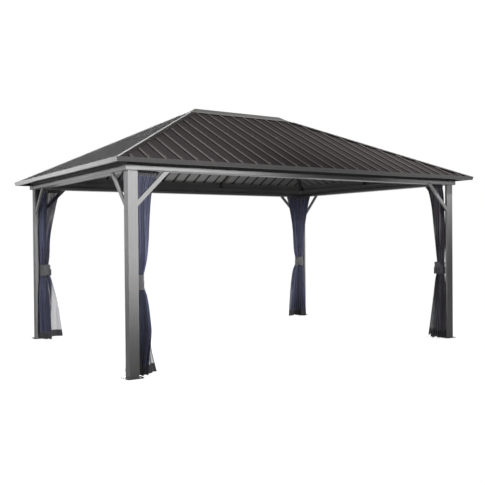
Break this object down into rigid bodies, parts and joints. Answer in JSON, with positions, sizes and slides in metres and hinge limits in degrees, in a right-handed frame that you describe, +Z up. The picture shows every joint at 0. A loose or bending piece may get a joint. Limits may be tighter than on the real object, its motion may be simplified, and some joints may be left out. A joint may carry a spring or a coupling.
{
  "type": "metal gazebo",
  "caption": "Rectangular garden gazebo with corner posts and knee braces, a hipped ribbed sheet-metal roof, and a mosquito net tied at each corner.",
  "frame": {"origin": "on the ground, at the middle of the plan", "axes": "+X along the long side, +Z up, the side that faces the camera on the right of the picture is -Y"},
  "size_m": [4.94, 3.615, 2.9861],
  "materials": {
    "post_coat": "satin powder coat, charcoal",
    "foot_coat": "satin powder coat, grey",
    "beam_coat": "satin powder coat, charcoal",
    "track_metal": "satin anodised, dark grey",
    "roof_coat": "semi-gloss coil coat, dark brown",
    "trim_coat": "satin powder coat, dark brown-grey",
    "netting": "fine knitted mesh, dark blue-black",
    "tie_band": "woven strap, dark grey"
  },
  "bodies": {
    "root": {"post_front_left": "post_coat", "post_front_right": "post_coat", "post_back_left": "post_coat", "post_back_right": "post_coat", "foot_plate_front_left": "foot_coat", "foot_plate_front_right": "foot_coat", "foot_plate_back_left": "foot_coat", "foot_plate_back_right": "foot_coat", "beam_front": "beam_coat", "beam_back": "beam_coat", "beam_left": "beam_coat", "beam_right": "beam_coat", "corner_block_front_left": "beam_coat", "corner_block_front_right": "beam_coat", "corner_block_back_left": "beam_coat", "corner_block_back_right": "beam_coat", "braces_front_left": "post_coat", "braces_front_right": "post_coat", "braces_back_left": "post_coat", "braces_back_right": "post_coat", "curtain_tracks": "track_metal", "hip_rafter_front_left": "beam_coat", "hip_rafter_front_right": "beam_coat", "hip_rafter_back_left": "beam_coat", "hip_rafter_back_right": "beam_coat", "common_rafters": "beam_coat", "ridge_beam": "beam_coat", "roof_panel_front": "roof_coat", "roof_panel_back": "roof_coat", "roof_panel_left": "roof_coat", "roof_panel_right": "roof_coat", "hip_cap_front_left": "roof_coat", "hip_cap_front_right": "roof_coat", "hip_cap_back_left": "roof_coat", "hip_cap_back_right": "roof_coat", "ridge_cap": "roof_coat", "eave_trim_front": "trim_coat", "eave_trim_back": "trim_coat", "eave_trim_left": "trim_coat", "eave_trim_right": "trim_coat", "curtain_front_left": "netting", "curtain_front_right": "netting", "curtain_back_left": "netting", "curtain_back_right": "netting", "curtain_ties": "tie_band"}
  },
  "joints": []
}
